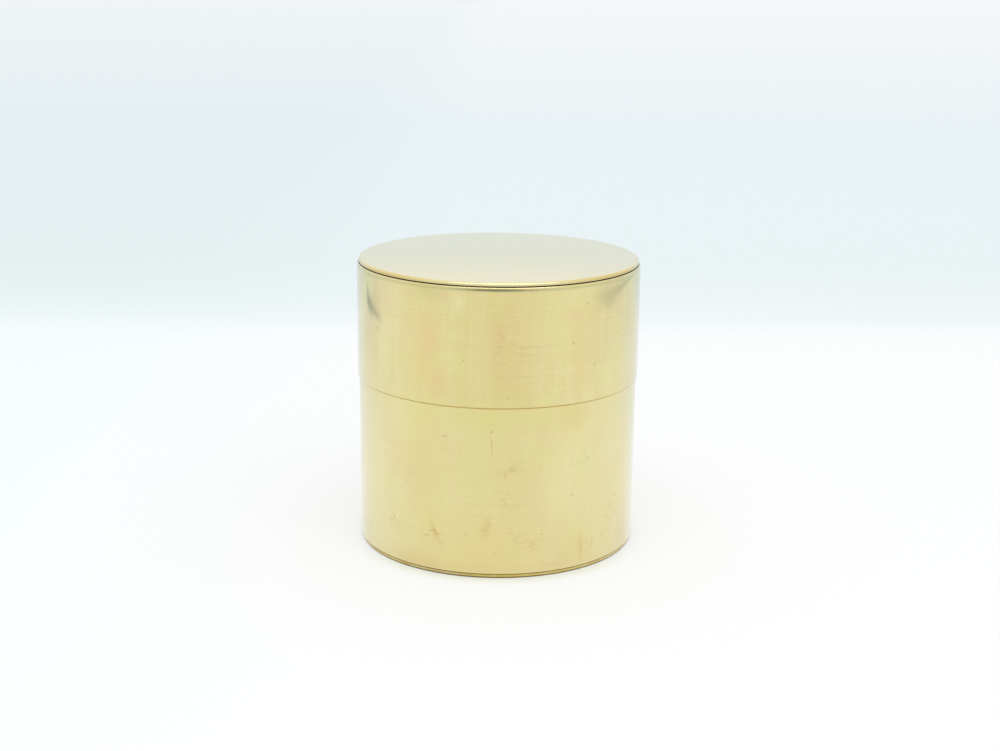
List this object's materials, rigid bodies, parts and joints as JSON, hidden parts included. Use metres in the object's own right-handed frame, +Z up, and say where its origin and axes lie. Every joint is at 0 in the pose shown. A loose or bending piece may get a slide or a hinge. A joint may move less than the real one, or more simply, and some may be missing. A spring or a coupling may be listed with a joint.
{
  "type": "round lidded tin",
  "caption": "Round brass canister with a lid that slides over an inner neck, and a dished inner lid with a turned knob; keeps dry goods such as tea.",
  "frame": {"origin": "middle of the base, on the surface that the tin stands on", "axes": "+Z up along the tin's axis, +Y towards the soldered seams at the back, -Y towards the front"},
  "size_m": [0.082, 0.082, 0.084],
  "materials": {
    "sheet_brass": "raw rolled brass, satin, lightly tarnished",
    "turned_brass": "turned and polished brass",
    "tinned_sheet": "bright tinned sheet",
    "solder": "dull soft solder, scraped flush"
  },
  "bodies": {
    "canister": {"body_wall": "sheet_brass", "body_seam": "solder", "base_plate": "sheet_brass", "inner_sleeve": "tinned_sheet", "sleeve_seam": "solder", "inner_bottom": "tinned_sheet"},
    "inner_lid": {"inner_lid_pan": "sheet_brass", "inner_lid_knob": "turned_brass", "knob_washer": "turned_brass"},
    "lid": {"lid_wall": "sheet_brass", "lid_seam": "solder", "lid_top": "sheet_brass", "lid_liner": "tinned_sheet", "liner_seam": "solder"}
  },
  "joints": [
    {"name": "inner_lid_lift", "type": "slide", "parent": "canister", "child": "inner_lid", "axis": [0, 0, 1], "range_m": [0, 0.06]},
    {"name": "lid_lift", "type": "slide", "parent": "inner_lid", "child": "lid", "axis": [0, 0, 1], "range_m": [0, 0.06]}
  ]
}
